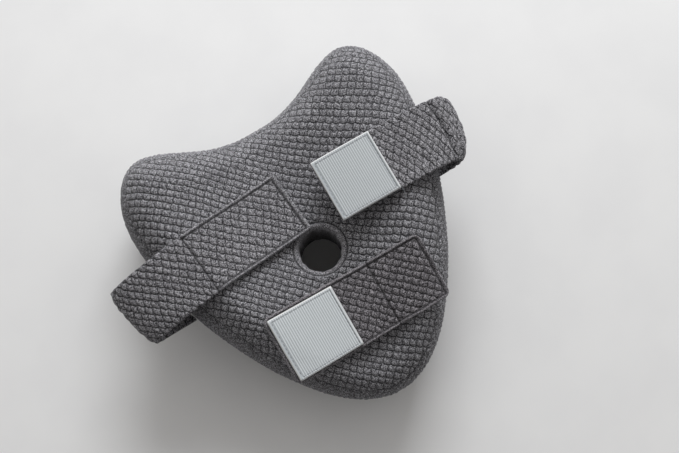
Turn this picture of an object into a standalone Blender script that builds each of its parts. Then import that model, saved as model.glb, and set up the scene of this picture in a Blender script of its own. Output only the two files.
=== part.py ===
"""A heart-shaped knee pillow with its two leg straps and its loose strap extender, lying on its back face.

X runs across the pillow, Y from its rounded tip to its notched end, and Z up from the surface it lies on.
The shapes are worked out in millimetres, with X measured from the pillow's axis and Y from the middle of
its vent hole. At the end they are moved in plan, so that the middle of the whole footprint is the origin.
"""
import math

import bmesh
import bpy
import numpy as np

MM = 0.001

# The cushion's largest outline, halfway up its side, from the tip to the notch on the right-hand side.
# Columns: distance from the axis, place along it.
HALF_OUTLINE = (
    (0.0, -118.8),
    (12.0, -117.6),
    (29.5, -110.2),
    (48.5, -95.2),
    (67.0, -73.2),
    (83.4, -48.0),
    (98.0, -19.0),
    (109.5, 10.0),
    (117.0, 41.0),
    (121.3, 70.0),
    (121.3, 92.0),
    (116.8, 109.5),
    (109.0, 123.2),
    (98.5, 131.9),
    (86.0, 134.9),
    (71.0, 131.4),
    (56.0, 124.6),
    (38.0, 116.4),
    (19.0, 111.4),
    (0.0, 110.4),
)
LOBE_WIDEST_Y = 92.0
OUTLINE_STATIONS = 88
FINE_OUTLINE = 720

# The two faces: a valley along the axis between two crests, higher in the middle of its length.
HALF_THICK = 58.0
CREST_FROM_AXIS = 86.0
CREST_AT_TIP = 38.0
VALLEY_DEPTH = 16.0
VALLEY_AT_TIP = 6.0
CROWN_AT_Y = 20.0
FALL_TO_TIP = 11.0
FALL_TO_NOTCH = 3.5
FALL_SPAN = 100.0

# The rounded rim. Columns: share of the rim's reach inward from the outline, depth of the seam channel there.
RIM_REACH = 0.586
RIM_INSIDE = 15.0
GROOVE_SLANT = math.sqrt(0.5)
RIM_ROWS = (
    (0.0, 0.0),
    (0.03, 0.0),
    (0.11, 0.0),
    (0.2, 0.0),
    (0.262, 0.2),
    (0.294, 1.6),
    (0.33, 0.2),
    (0.43, 0.0),
)
INNER_ROWS = (0.1, 0.23, 0.4, 0.6, 0.8, 1.0)

# The vent hole, a little off the outline's axis, and its rounded lip, where the lining is sewn to the face.
HOLE_X = -1.4
HOLE_Y = 0.8
HOLE_RADIUS = 15.5
LIP_RADIUS = 23.5
LIP_DROP = 7.0
LIP_ANGLES = (30.0, 60.0, 90.0)
WALL_ROWS = (1 / 3, 2 / 3)

# The cushion flattens this much where its back crests lie on the surface.
REST_SINK = 1.3

BAND_WIDTH = 49.0
BAND_THICK = 4.2
BAND_CLEARANCE = 0.5
BAND_EDGE_ROUND = 1.0
ACROSS_COLUMNS = 7
STITCH_INSET = 2.6
STITCH_THIN = 0.62
EDGE_THIN = 0.78

# The elastic strap, from its free end over the right-hand lobe to its seam on the side band.
# Columns: distance from the axis, height, how far the band is slanted along the cushion's edge.
# The bow is how far the middle of the fold stands out beyond the band's edges.
ELASTIC_CENTRE_Y = 32.3
ELASTIC_ROUTE = (
    (22.5, 118.6, 0.0),
    (38.0, 119.0, 0.0),
    (55.0, 118.8, 0.0),
    (72.0, 118.0, 0.0),
    (88.0, 116.4, 0.1),
    (102.0, 113.4, 0.4),
    (115.0, 108.2, 0.7),
    (126.0, 100.4, 0.9),
    (133.8, 89.6, 1.0),
    (134.8, 77.0, 1.0),
    (129.8, 66.0, 1.0),
    (122.6, 59.8, 1.0),
    (116.0, 57.4, 1.0),
)
ELASTIC_BOW = 3.2
ELASTIC_STEP = 3.4
GATHER_FROM = 54.0
GATHER_PITCH = 9.5
GATHER_HEIGHT = 0.9
GATHER_LEAN = 0.16

# The plain strap, from its free end beside the vent hole over the left-hand lobe to its seam.
PLAIN_CENTRE_Y = 30.3
PLAIN_TURN = 0.1
PLAIN_ROUTE = (
    (-1.0, 103.0, 0.0),
    (-17.0, 103.8, 0.0),
    (-34.0, 107.2, 0.0),
    (-52.0, 112.0, 0.0),
    (-70.0, 115.6, 0.0),
    (-86.0, 116.4, 0.1),
    (-102.0, 114.4, 0.4),
    (-118.0, 110.2, 0.8),
    (-133.0, 104.6, 1.0),
    (-143.4, 98.0, 1.0),
    (-147.4, 90.4, 1.0),
    (-144.8, 82.4, 1.0),
    (-136.6, 75.2, 1.0),
    (-127.0, 67.0, 1.0),
    (-121.0, 60.0, 1.0),
    (-115.9, 57.4, 1.0),
)
PLAIN_BOW = 0.8
PLAIN_STEP = 5.4

# The loose extender across the tip. It has no slant.
EXTENDER_CENTRE_Y = -49.6
EXTENDER_WIDTH = 53.5
EXTENDER_TAPER = 3.0
EXTENDER_ROUTE = (
    (-63.5, 104.6, 0.0),
    (-52.0, 107.4, 0.0),
    (-36.0, 106.6, 0.0),
    (-18.0, 104.0, 0.0),
    (0.0, 102.8, 0.0),
    (18.0, 104.0, 0.0),
    (36.0, 106.6, 0.0),
    (52.0, 107.4, 0.0),
    (64.5, 104.2, 0.0),
)
EXTENDER_STEP = 5.3
EXTENDER_TILT = 0.12

# The hook squares, sewn on top of the bands at their free ends.
HOOK_THICK = 2.0
HOOK_ROUND = 0.7
HOOK_CLEARANCE = 0.65
ELASTIC_HOOK = {"start": 0.4, "length": 47.6, "width": 48.0}
EXTENDER_HOOK = {"start": 3.2, "length": 51.4, "width": 49.4}

SETTLE_ROUNDS = 12
STEEPEST = 1.5


def closed_outline(count):
    """The smooth closed outline as evenly spaced points, anticlockwise from the tip."""
    right = np.array(HALF_OUTLINE)
    left = right[-2:0:-1] * (-1.0, 1.0)
    knots = np.vstack((right, left))
    fine = []
    for i in range(len(knots)):
        before, start, end, after = (knots[(i + k) % len(knots)] for k in (-1, 0, 1, 2))
        for t in np.linspace(0.0, 1.0, 24, endpoint=False):
            fine.append(catmull_rom(before, start, end, after, t))
    return evenly_spaced(np.array(fine + fine[:1]), count + 1)[:-1]


def catmull_rom(before, start, end, after, t):
    """The point at share t between start and end on the smooth curve through four points."""
    straight = 2.0 * start + (end - before) * t
    bend = (2.0 * before - 5.0 * start + 4.0 * end - after) * t ** 2
    twist = (3.0 * start - before - 3.0 * end + after) * t ** 3
    return 0.5 * (straight + bend + twist)


def evenly_spaced(points, count):
    """The same line as count points at equal distances along it."""
    steps = np.linalg.norm(np.diff(points, axis=0), axis=1)
    along = np.concatenate(([0.0], np.cumsum(steps)))
    places = np.linspace(0.0, along[-1], count)
    return np.column_stack([np.interp(places, along, column) for column in points.T])


OUTLINE = closed_outline(FINE_OUTLINE)


def edge_distance(x, y):
    """How far a point in plan lies inside the outline, and 0 outside it."""
    point = np.array((x, y))
    start = OUTLINE
    side = np.roll(OUTLINE, -1, axis=0) - start
    share = ((point - start) * side).sum(axis=1) / (side ** 2).sum(axis=1)
    nearest = start + side * np.clip(share, 0.0, 1.0)[:, None]
    gaps = np.linalg.norm(nearest - point, axis=1)
    k = int(gaps.argmin())
    inward = np.array((-side[k][1], side[k][0]))
    return float(gaps[k]) if np.dot(point - nearest[k], inward) > 0 else 0.0


def half_width(y):
    """The outline's distance from the axis at a place along it, up to the widest part of the lobes."""
    side = OUTLINE[(OUTLINE[:, 0] >= 0.0) & (OUTLINE[:, 1] <= LOBE_WIDEST_Y)]
    return float(np.interp(y, side[:, 1], side[:, 0]))


def crown_height(x, y):
    """Half the thickness away from the rim: the valley, its two crests and the fall to both ends."""
    to_tip = min(max((CROWN_AT_Y - y) / (CROWN_AT_Y - HALF_OUTLINE[0][1]), 0.0), 1.0)
    crest = CREST_FROM_AXIS + (CREST_AT_TIP - CREST_FROM_AXIS) * to_tip
    depth = VALLEY_DEPTH + (VALLEY_AT_TIP - VALLEY_DEPTH) * to_tip
    across = min(abs(x) / crest, 1.0)
    fall = FALL_TO_TIP if y < CROWN_AT_Y else FALL_TO_NOTCH
    top = HALF_THICK - fall * ((y - CROWN_AT_Y) / FALL_SPAN) ** 2
    return top - depth * (1.0 + math.cos(math.pi * across)) / 2.0


def rim_share(share):
    """The rounded rim's height as a share of the crown, at a share of the rim's reach inward."""
    return math.sqrt(1.0 - (1.0 - min(share, 1.0)) ** 2)


def face_height(x, y):
    """Half the thickness at a point in plan, with the rounded rim."""
    crown = crown_height(x, y)
    return crown * rim_share(edge_distance(x, y) / (RIM_REACH * crown))


def upper_half(point, inward):
    """One station's points from the outline, over the rim and the face, to the foot of the hole's lip."""
    reach = RIM_REACH * crown_height(*(point + inward * RIM_INSIDE))
    rows = []
    for share, groove in RIM_ROWS:
        place = point + inward * (share * reach + groove * GROOVE_SLANT)
        height = crown_height(*place) * rim_share(share) - groove * GROOVE_SLANT
        rows.append((*place, height))
    last = np.array(rows[-1][:2])
    middle = np.array((HOLE_X, HOLE_Y))
    ray = (point - middle) / np.linalg.norm(point - middle)
    for share in INNER_ROWS:
        place = last + (middle + ray * LIP_RADIUS - last) * share
        rows.append((*place, face_height(*place)))
    for degrees in LIP_ANGLES:
        turn = math.radians(degrees)
        place = middle + ray * (LIP_RADIUS - (LIP_RADIUS - HOLE_RADIUS) * math.sin(turn))
        rows.append((*place, face_height(*place) - LIP_DROP * (1.0 - math.cos(turn))))
    return rows


def cushion_section(point, inward):
    """One station's closed section: over the front face, down the hole and back under the back face."""
    front = upper_half(point, inward)
    x, y, height = front[-1]
    wall = [(x, y, height * (1.0 - 2.0 * share)) for share in WALL_ROWS]
    back = [(px, py, -pz) for px, py, pz in front[:0:-1]]
    return front + wall + back


def cushion_sections():
    """All sections, with Z measured from the surface that the flattened back crests lie on."""
    outline = closed_outline(OUTLINE_STATIONS)
    tangents = np.roll(outline, -1, axis=0) - np.roll(outline, 1, axis=0)
    sections = []
    for point, tangent in zip(outline, tangents):
        inward = np.array((-tangent[1], tangent[0])) / np.linalg.norm(tangent)
        sections.append(cushion_section(point, inward))
    sections = np.array(sections)
    sections[:, :, 2] += MIDDLE_Z
    sections[:, :, 2] = np.maximum(sections[:, :, 2], 0.0)
    return sections


def crest_top():
    """The greatest half thickness, found along a line across the widest part of the lobes."""
    return max(face_height(x, CROWN_AT_Y) for x in np.arange(60.0, 100.0, 1.0))


MIDDLE_Z = crest_top() - REST_SINK


def make_material(name, color, roughness):
    material = bpy.data.materials.new(name)
    material.use_nodes = True
    shader = material.node_tree.nodes["Principled BSDF"]
    shader.inputs["Base Color"].default_value = (*color, 1.0)
    shader.inputs["Roughness"].default_value = roughness
    return material


def finish_object(obj, name, material):
    """Names the object, gives it its material and puts it in the pillow's collection."""
    obj.name = name
    obj.data.name = name
    obj.data.materials.append(material)
    for collection in list(obj.users_collection):
        collection.objects.unlink(obj)
    PILLOW.objects.link(obj)
    obj.data.shade_smooth()
    return obj


def make_cushion():
    """The filled body: a ring-shaped mesh whose points are moved onto the cushion's sections."""
    sections = cushion_sections()
    stations, rows = sections.shape[:2]
    bpy.ops.mesh.primitive_torus_add(major_segments=stations, minor_segments=rows)
    obj = bpy.context.object
    obj.data.vertices.foreach_set("co", (sections * MM).ravel())
    obj.data.update()
    return finish_object(obj, "cushion", COVER)


def route_grid(route, step, width):
    """Evenly spaced rows along a route, each with the offsets across the band: x, height, follow, across."""
    knots = np.array(route)
    fine = []
    for i in range(len(knots) - 1):
        before = knots[max(i - 1, 0)]
        after = knots[min(i + 2, len(knots) - 1)]
        for t in np.linspace(0.0, 1.0, 16, endpoint=False):
            fine.append(catmull_rom(before, knots[i], knots[i + 1], after, t))
    fine = np.array(fine + [knots[-1]])
    length = np.linalg.norm(np.diff(fine[:, :2], axis=0), axis=1).sum()
    rows = evenly_spaced(fine, round(length / step) + 1)
    inner = np.linspace(-1.0, 1.0, ACROSS_COLUMNS) * (width / 2 - STITCH_INSET)
    across = np.concatenate(([-width / 2], inner, [width / 2]))
    return rows, across


def lowest_middle(x, y):
    """The lowest height at which a band's middle surface is clear of the face, also where the face slopes."""
    here = face_height(x, y)
    slope = math.hypot(face_height(x + 1.0, y) - here, face_height(x, y + 1.0) - here)
    return MIDDLE_Z + here + (BAND_THICK / 2 + BAND_CLEARANCE) * math.hypot(1.0, min(slope, STEEPEST))


def settle(grid):
    """Smooths the heights and keeps the band just clear of the face, as a limp band lies down on it."""
    floor = np.full(grid.shape[:2], -np.inf)
    for i, row in enumerate(grid):
        for j, (x, y, z) in enumerate(row):
            if z > MIDDLE_Z and edge_distance(x, y) > 0.0:
                floor[i, j] = lowest_middle(x, y)
    for _ in range(SETTLE_ROUNDS):
        heights = grid[:, :, 2]
        inner = (heights[:-2] + heights[2:]) / 2
        heights[1:-1] = (heights[1:-1] + inner) / 2
        grid[:, :, 2] = np.maximum(heights, floor)
    return grid


def strap_grid(route, step, centre_y, bow, turn=0.0):
    """A leg strap's middle surface: turned a little in plan, with a fold that follows the cushion's edge and
    is bowed outward in the middle of its width."""
    rows, offsets = route_grid(route, step, BAND_WIDTH)
    side = 1.0 if route[-1][0] > 0 else -1.0
    edge_x = route[-1][0]
    grid = np.zeros((len(rows), len(offsets), 3))
    for i, (x, z, follow) in enumerate(rows):
        middle_y = centre_y + turn * (x - edge_x)
        for j, offset in enumerate(offsets):
            y = middle_y + offset
            slant = side * (half_width(y) - half_width(centre_y))
            slant += side * bow * (1.0 - (2.0 * offset / BAND_WIDTH) ** 2) * bow_share(rows, i)
            grid[i, j] = (x + follow * slant - (1.0 - follow) * turn * offset, y, z)
    return grid


def bow_share(rows, i):
    """How much of the bow shows at a row: all of it where the route reaches furthest out, none at its ends."""
    reach = np.abs(rows[:, 0])
    return max(0.0, (reach[i] - reach[-1]) / (reach.max() - reach[-1]))


def gather(grid):
    """Raises the elastic strap's gathers, as low waves square to its middle surface."""
    out = grid.copy()
    normals = grid_normals(grid)
    last = (len(grid) - 1) * ELASTIC_STEP
    for i in range(len(grid)):
        along = i * ELASTIC_STEP
        fade = np.clip((along - GATHER_FROM) / GATHER_PITCH, 0.0, 1.0)
        fade *= np.clip((last - along) / GATHER_PITCH - 0.5, 0.0, 1.0)
        for j in range(grid.shape[1]):
            offset = grid[i, j, 1] - ELASTIC_CENTRE_Y
            turn = 2.0 * math.pi * (along + GATHER_LEAN * offset) / GATHER_PITCH
            out[i, j] += normals[i, j] * GATHER_HEIGHT * fade * math.sin(turn)
    return out


def grid_normals(grid):
    """Unit normals of a band's middle surface, pointing up where the band lies on the face."""
    along = np.gradient(grid, axis=0)
    across = np.gradient(grid, axis=1)
    normals = np.cross(along, across)
    normals /= np.linalg.norm(normals, axis=2)[:, :, None]
    return normals if normals[0, 0, 2] > 0 else -normals


def extender_grid():
    """The loose extender's middle surface, tilted towards the tip with the face under it."""
    rows, offsets = route_grid(EXTENDER_ROUTE, EXTENDER_STEP, EXTENDER_WIDTH)
    grid = np.zeros((len(rows), len(offsets), 3))
    for i, (x, z, _) in enumerate(rows):
        narrow = 1.0 - EXTENDER_TAPER / EXTENDER_WIDTH * i / (len(rows) - 1)
        for j, offset in enumerate(offsets * narrow):
            grid[i, j] = (x, EXTENDER_CENTRE_Y + offset, z + EXTENDER_TILT * offset)
    return grid


def band_thickness(columns):
    """Share of the full thickness at each column: thin at the edges and thinnest at the topstitching."""
    shares = [1.0] * columns
    shares[0] = shares[-1] = EDGE_THIN
    shares[1] = shares[-2] = STITCH_THIN
    return shares


def make_sheet(name, grid, thickness, edge_round, material, shares=None):
    """A padded sheet on a middle surface: a flat grid moved onto it, thickened and rounded at its edges."""
    rows, columns = grid.shape[:2]
    mesh = bpy.data.meshes.new(name)
    bm = bmesh.new()
    bmesh.ops.create_grid(bm, x_segments=columns - 1, y_segments=rows - 1, size=1.0)
    bm.verts.ensure_lookup_table()
    for index, vertex in enumerate(bm.verts):
        vertex.co = grid[index // columns, index % columns] * MM
    bm.to_mesh(mesh)
    bm.free()
    obj = bpy.data.objects.new(name, mesh)
    bpy.context.scene.collection.objects.link(obj)
    solidify = obj.modifiers.new("Thickness", "SOLIDIFY")
    solidify.thickness = thickness * MM
    solidify.offset = 0.0
    if shares:
        group = obj.vertex_groups.new(name="padding")
        for index in range(len(mesh.vertices)):
            group.add([index], shares[index % columns], "REPLACE")
        solidify.vertex_group = group.name
    bevel = obj.modifiers.new("Rounded edge", "BEVEL")
    bevel.width = edge_round * MM
    bevel.segments = 2
    bevel.limit_method = "ANGLE"
    bevel.angle_limit = math.radians(60.0)
    return finish_object(obj, name, material)


def stretch_of(band, step, start, length, width):
    """The part of a band's middle surface that a narrower piece of that length covers, as a grid of its own."""
    places = np.linspace(start, start + length, round(length / step) + 1) / step
    rows = interpolate(band, np.arange(len(band)), places)
    widths = np.linalg.norm(np.diff(rows[0], axis=0), axis=1)
    across = np.concatenate(([0.0], np.cumsum(widths)))
    edge = (across[-1] - width) / 2
    columns = interpolate(rows.swapaxes(0, 1), across, np.linspace(edge, across[-1] - edge, band.shape[1]))
    return columns.swapaxes(0, 1)


def interpolate(grid, known, wanted):
    """Rows of a grid at the wanted places, between the rows at the known ones."""
    flat = grid.reshape(len(grid), -1)
    rows = np.column_stack([np.interp(wanted, known, column) for column in flat.T])
    return rows.reshape(len(wanted), *grid.shape[1:])


def make_hook_square(name, band, step, size):
    """A hook square, lifted onto the stretch of band that it is sewn to."""
    grid = stretch_of(band, step, **size)
    lift = BAND_THICK / 2 + HOOK_CLEARANCE + HOOK_THICK / 2
    return make_sheet(name, grid + grid_normals(grid) * lift, HOOK_THICK, HOOK_ROUND, HOOKS)


def move_footprint_to_origin(objects):
    """Moves every point in plan, so that the middle of the whole footprint is the origin."""
    bpy.context.view_layer.update()
    corners = [obj.matrix_world @ point.co for obj in objects for point in solid_points(obj)]
    middle_x = (min(c.x for c in corners) + max(c.x for c in corners)) / 2
    middle_y = (min(c.y for c in corners) + max(c.y for c in corners)) / 2
    for obj in objects:
        for vertex in obj.data.vertices:
            vertex.co.x -= middle_x
            vertex.co.y -= middle_y


def solid_points(obj):
    """The points of the object's finished mesh."""
    return obj.evaluated_get(bpy.context.evaluated_depsgraph_get()).data.vertices


for old in list(bpy.data.objects):
    bpy.data.objects.remove(old, do_unlink=True)

PILLOW = bpy.data.collections.new("knee pillow")
bpy.context.scene.collection.children.link(PILLOW)
COVER = make_material("quilted knit", (0.13, 0.13, 0.14), 0.95)
BAND = make_material("quilted band", (0.12, 0.12, 0.13), 0.95)
HOOKS = make_material("woven hooks", (0.6, 0.62, 0.65), 0.6)


def main():
    elastic = settle(strap_grid(ELASTIC_ROUTE, ELASTIC_STEP, ELASTIC_CENTRE_Y, ELASTIC_BOW))
    plain = settle(strap_grid(PLAIN_ROUTE, PLAIN_STEP, PLAIN_CENTRE_Y, PLAIN_BOW, PLAIN_TURN))
    extender = settle(extender_grid())
    padding = band_thickness(plain.shape[1])
    objects = [
        make_cushion(),
        make_sheet("strap_elastic", gather(elastic), BAND_THICK, BAND_EDGE_ROUND, BAND),
        make_sheet("strap_plain", plain, BAND_THICK, BAND_EDGE_ROUND, BAND, padding),
        make_sheet("strap_extender", extender, BAND_THICK, BAND_EDGE_ROUND, BAND, padding),
        make_hook_square("hook_square_elastic", elastic, ELASTIC_STEP, ELASTIC_HOOK),
        make_hook_square("hook_square_extender", extender, EXTENDER_STEP, EXTENDER_HOOK),
    ]
    move_footprint_to_origin(objects)


main()
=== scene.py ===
"""Dresses the knee pillow: its quilted knit cover, three quilted straps and two squares of hook tape.

The cloth is worked out in millimetres in the pillow's own plan, with X measured from the pillow's axis and Y
from about the vent hole, and moved onto the frame when a mesh is made. Heights are measured from the surface
that the pillow lies on, but for the cushion's own, which start at its middle.
"""
import math

import bpy
import numpy as np
from mathutils import Matrix, Vector


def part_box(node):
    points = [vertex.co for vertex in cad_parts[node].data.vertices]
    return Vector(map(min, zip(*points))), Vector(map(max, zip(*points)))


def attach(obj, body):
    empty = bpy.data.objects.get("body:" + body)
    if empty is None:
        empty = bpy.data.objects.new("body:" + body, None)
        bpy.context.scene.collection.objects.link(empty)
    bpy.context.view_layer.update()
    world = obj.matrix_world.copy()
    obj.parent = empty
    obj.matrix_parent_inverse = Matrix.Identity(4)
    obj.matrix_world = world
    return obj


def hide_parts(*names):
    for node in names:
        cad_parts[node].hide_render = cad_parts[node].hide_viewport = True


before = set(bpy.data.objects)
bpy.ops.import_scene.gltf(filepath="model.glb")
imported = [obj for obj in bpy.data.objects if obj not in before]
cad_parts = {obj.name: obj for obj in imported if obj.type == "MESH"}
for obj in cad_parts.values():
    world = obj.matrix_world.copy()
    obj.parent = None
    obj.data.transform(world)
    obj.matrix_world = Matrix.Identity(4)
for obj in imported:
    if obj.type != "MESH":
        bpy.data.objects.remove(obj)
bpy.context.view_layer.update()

MM = 0.001

# The cushion's largest outline, halfway up its side, from the tip to the notch on the right-hand side.
# Columns: distance from the axis, place along it.
HALF_OUTLINE = (
    (0.0, -118.8),
    (12.0, -117.6),
    (29.5, -110.2),
    (48.5, -95.2),
    (67.0, -73.2),
    (83.4, -48.0),
    (98.0, -19.0),
    (109.5, 10.0),
    (117.0, 41.0),
    (121.3, 70.0),
    (121.3, 92.0),
    (116.8, 109.5),
    (109.0, 123.2),
    (98.5, 131.9),
    (86.0, 134.9),
    (71.0, 131.4),
    (56.0, 124.6),
    (38.0, 116.4),
    (19.0, 111.4),
    (0.0, 110.4),
)
LOBE_WIDEST_Y = 92.0
FINE_OUTLINE = 720
OUTLINE_STEPS = 24
PLACES_AT_ONCE = 4000

# The two faces: a valley along the axis between two crests, higher in the middle of its length.
HALF_THICK = 58.0
CREST_FROM_AXIS = 86.0
CREST_AT_TIP = 38.0
VALLEY_DEPTH = 16.0
VALLEY_AT_TIP = 6.0
CROWN_AT_Y = 20.0
FALL_TO_TIP = 11.0
FALL_TO_NOTCH = 3.5
FALL_SPAN = 100.0

# The rounded rim, and the shares of its reach where the seam is sewn and where the face goes on by itself.
RIM_REACH = 0.586
RIM_INSIDE = 15.0
SEAM_SHARE = 0.294
RIM_END_SHARE = 0.43

# The vent hole and its rounded lip. The ring where the lining is sewn to the face lies a little aside.
HOLE = np.array((-1.4, 0.8))
HOLE_RADIUS = 15.5
LIP_RADIUS = 21.0
LIP_DROP = 5.5
RING_CENTRE = HOLE + (0.6, 1.4)
RING_RADIUS = 19.4
HOLE_MIDDLE_RADIUS = 16.6
HOLE_BACK_RADIUS = 17.2
REST_SINK = 1.3
# Waves round the hole, in its wall and as folds in its lining. Columns: height, how many, turn.
WALL_WAVES = ((0.7, 3.0, 0.6), (0.5, 7.0, 0.0))
LINING_WAVES = ((0.28, 11.0, 1.3), (0.2, 17.0, 0.0))
LINING_FADE = 8.0

# The cushion's grid: stations around it, and rows on the side, the rim, the face, the lip and the wall.
STATIONS = 832
SIDE_ROWS = 42
RIM_ROWS = 7
FACE_ROWS = 105
BACK_ROWS = 62
LIP_ROWS = 16
WALL_ROWS = 26

# The photograph's own right and up, in plan.
VIEW_TURN = math.radians(30.2)
VIEW_RIGHT = np.array((math.cos(VIEW_TURN), -math.sin(VIEW_TURN), 0.0))
VIEW_UP = np.array((math.sin(VIEW_TURN), math.cos(VIEW_TURN), 0.0))

# The quilting on the cover. Its rows fall to the right in the photograph, and most where they bend.
ROW_PITCH = 5.31
COLUMN_PITCH = 5.57
ROW_FALL = 0.07
BEND_FALL = 0.25
BEND_WIDTH = 50.0
BEND_MIDDLE = -40.5
BEND_LEAN = 0.45
COLUMN_LEAN = 0.21
SCALLOP = 0.17
STAGGER = 0.3
NO_REPEAT = 997
COLUMN_BOW = 0.14
# How far the sewn lines wander. Columns: size in shares of a cell, length of the wave, seed.
COLUMN_WANDER = ((0.1, 31.0, 1.3), (0.05, 9.0, 5.0))
ROW_WANDER = ((0.1, 37.0, 4.2), (0.05, 10.0, 2.2))
# How much the side band's columns and rows run round the side, and how much up it.
SIDE_COLUMN_RUN = (0.79, 0.61)
SIDE_ROW_RUN = (0.62, 0.78)

# The padded cells, the face's wide dents and the seams' channels.
PUFF = 1.75
PUFF_LEVEL = 0.72
PUFF_POWER = 0.5
ROW_SKEW = 0.92
LEFT_AT_COLUMN = 0.1
UNEVEN = 0.18
DENT_DEPTH = 0.35
DENT_LENGTH = 46.0
DENT_SEED = 0.4
DENT_LEVEL = 0.4
DENT_FADE = 9.0
SEAM_DEPTH = 1.7
SEAM_WIDTH = 1.5
SEAM_FLAT = 2.4
SEAM_LINE = 0.8

# The straps. Columns of a route: distance from the axis, height, share of the edge's slant that it takes on.
# Columns of a strap's quilting: fall of the rows, lean of the columns, row pitch, column pitch.
ROUTE_STEPS = 16
BAND_WIDTH = 49.0
BAND_THICK = 4.2
BAND_CLEARANCE = 0.5
STITCH_INSET = 2.6
END_INSET = 3.7
SETTLE_ROUNDS = 12
STEEPEST = 1.5
ELASTIC_CENTRE_Y = 32.3
ELASTIC_ROUTE = (
    (22.5, 118.6, 0.0),
    (38.0, 119.0, 0.0),
    (55.0, 118.8, 0.0),
    (72.0, 118.0, 0.0),
    (88.0, 116.4, 0.1),
    (102.0, 113.4, 0.4),
    (115.0, 108.2, 0.7),
    (126.0, 100.4, 0.9),
    (133.8, 89.6, 1.0),
    (134.8, 77.0, 1.0),
    (129.8, 66.0, 1.0),
    (122.6, 59.8, 1.0),
    (116.0, 57.4, 1.0),
)
ELASTIC_BOW = 3.2
ELASTIC_CORNER_FALL = 4.5
ELASTIC_STEP = 3.4
ELASTIC_QUILT = (0.54, 0.14, ROW_PITCH * 1.04, COLUMN_PITCH)
GATHER_FROM = 54.0
GATHER_PITCH = 9.5
GATHER_HEIGHT = 0.5
GATHER_LEAN = 0.16
# The elastic strap's deeper creases. Columns: place along it, lean across it, depth, width.
ELASTIC_CREASES = (
    (70.0, -0.3, 1.0, 2.2),
    (88.0, -0.25, 1.2, 2.0),
    (102.7, -0.18, 3.2, 1.6),
    (117.0, 0.0, 2.6, 1.3),
    (125.0, 0.05, 1.2, 1.3),
)
# The painted shade in the elastic strap's creases: how dark it grows, the depth over which it grows, and the
# share of that depth where it starts.
CREASE_PAINTED_SHADE = 1.1
CREASE_DEEP = 3.0
CREASE_FAINT = 0.45
PLAIN_CENTRE_Y = 30.3
PLAIN_TURN = 0.1
PLAIN_ROUTE = (
    (-1.0, 103.0, 0.0),
    (-17.0, 103.8, 0.0),
    (-34.0, 107.2, 0.0),
    (-52.0, 112.0, 0.0),
    (-70.0, 115.6, 0.0),
    (-86.0, 116.4, 0.1),
    (-102.0, 114.4, 0.4),
    (-118.0, 110.2, 0.8),
    (-133.0, 104.6, 1.0),
    (-143.4, 98.0, 1.0),
    (-147.4, 90.4, 1.0),
    (-144.8, 82.4, 1.0),
    (-136.6, 75.2, 1.0),
    (-127.0, 67.0, 1.0),
    (-121.0, 60.0, 1.0),
    (-115.9, 57.4, 1.0),
)
PLAIN_BOW = 0.8
PLAIN_CORNER_FALL = 2.2
PLAIN_STEP = 5.4
PLAIN_QUILT = (0.25, 0.0, ROW_PITCH, COLUMN_PITCH * 1.03)
EXTENDER_CENTRE_Y = -49.6
EXTENDER_WIDTH = 53.5
EXTENDER_TAPER = 3.0
EXTENDER_ROUTE = (
    (-63.5, 104.6, 0.0),
    (-52.0, 107.4, 0.0),
    (-36.0, 106.6, 0.0),
    (-18.0, 104.0, 0.0),
    (0.0, 102.8, 0.0),
    (18.0, 104.0, 0.0),
    (36.0, 106.6, 0.0),
    (52.0, 107.4, 0.0),
    (64.5, 104.2, 0.0),
)
EXTENDER_STEP = 5.3
EXTENDER_TILT = 0.12
EXTENDER_QUILT = (0.25, 0.24, ROW_PITCH, COLUMN_PITCH * 1.03)
SQUARE_ROWS = 11
SQUARE_FADE_ROWS = 5
SQUARE_STIFFNESS = 0.85

# The strap meshes: their spacing, their rounded edge and the relief of their quilting and stitching.
BAND_COLUMNS = 13
FINER_ACROSS = 5
CLOTH_STEP = 0.7
EDGE_ROUND = 1.5
EDGE_STEPS = 6
BAND_PUFF = 1.5
BAND_PUFF_LEVEL = 0.85
HEM_RAISE = 0.55
HEM_END = STITCH_INSET - 0.2
HEM_SLOPE = 1.2
HEM_TWIST = 0.16
HEM_TWIST_PITCH = 2.3
ROOT_CORNER = 0.5
ELASTIC_CORNER = 1.5
PLAIN_CORNER = 2.4
EXTENDER_CORNER = 6.0
CROSS_SEAM_PLAIN = 82.0
CROSS_SEAM_EXTENDER = 86.0
STITCH_DEPTH = 1.3
STITCH_WIDTH = 0.8
# How dark the painted shade along the stitched channels is, and how wide it spreads.
STITCH_PAINTED_SHADE = 0.85
STITCH_LINE = 0.6

# The squares of hook tape.
HOOK_THICK = 2.0
HOOK_CLEARANCE = 0.65
ELASTIC_HOOK = {"start": 0.4, "length": 47.6, "width": 48.0}
EXTENDER_HOOK = {"start": 3.2, "length": 51.4, "width": 49.4}
RIB_PITCH = 1.7
RIB_DEPTH = 0.3
HOOK_STEP = 0.28
HOOK_WIDE_STEP = 1.1
HOOK_FINER = 4
HOOK_WELT = 1.7
HOOK_SLOPE = 0.8
HOOK_LINE = 2.3
HOOK_LINE_DEPTH = 0.4
HOOK_LINE_WIDTH = 0.4

# Topstitching: single stitches of thread that lie in the stitched channels, and one loose end. The cap is
# the two quads that close the end of a tube, by the numbers of its sides.
THREAD_RADIUS = 0.24
THREAD_TAPER = 0.9
THREAD_SIDES = 6
THREAD_CAP = np.array(((0, 1, 2, 3), (3, 4, 5, 0)))
THREAD_RINGS = 5
STITCH_LENGTH = 2.4
STITCH_PITCH = 3.3
STITCH_ARCH = 0.3
LOOSE_END = 8.0
LOOSE_PLACE = (ELASTIC_HOOK["length"] + 1.0, 0.6)
LOOSE_ASIDE = 0.25
LOOSE_FALL = 0.45
LOOSE_BEND = 1.2
LOOSE_THIN = 0.8
LOOSE_RINGS = 12
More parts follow.
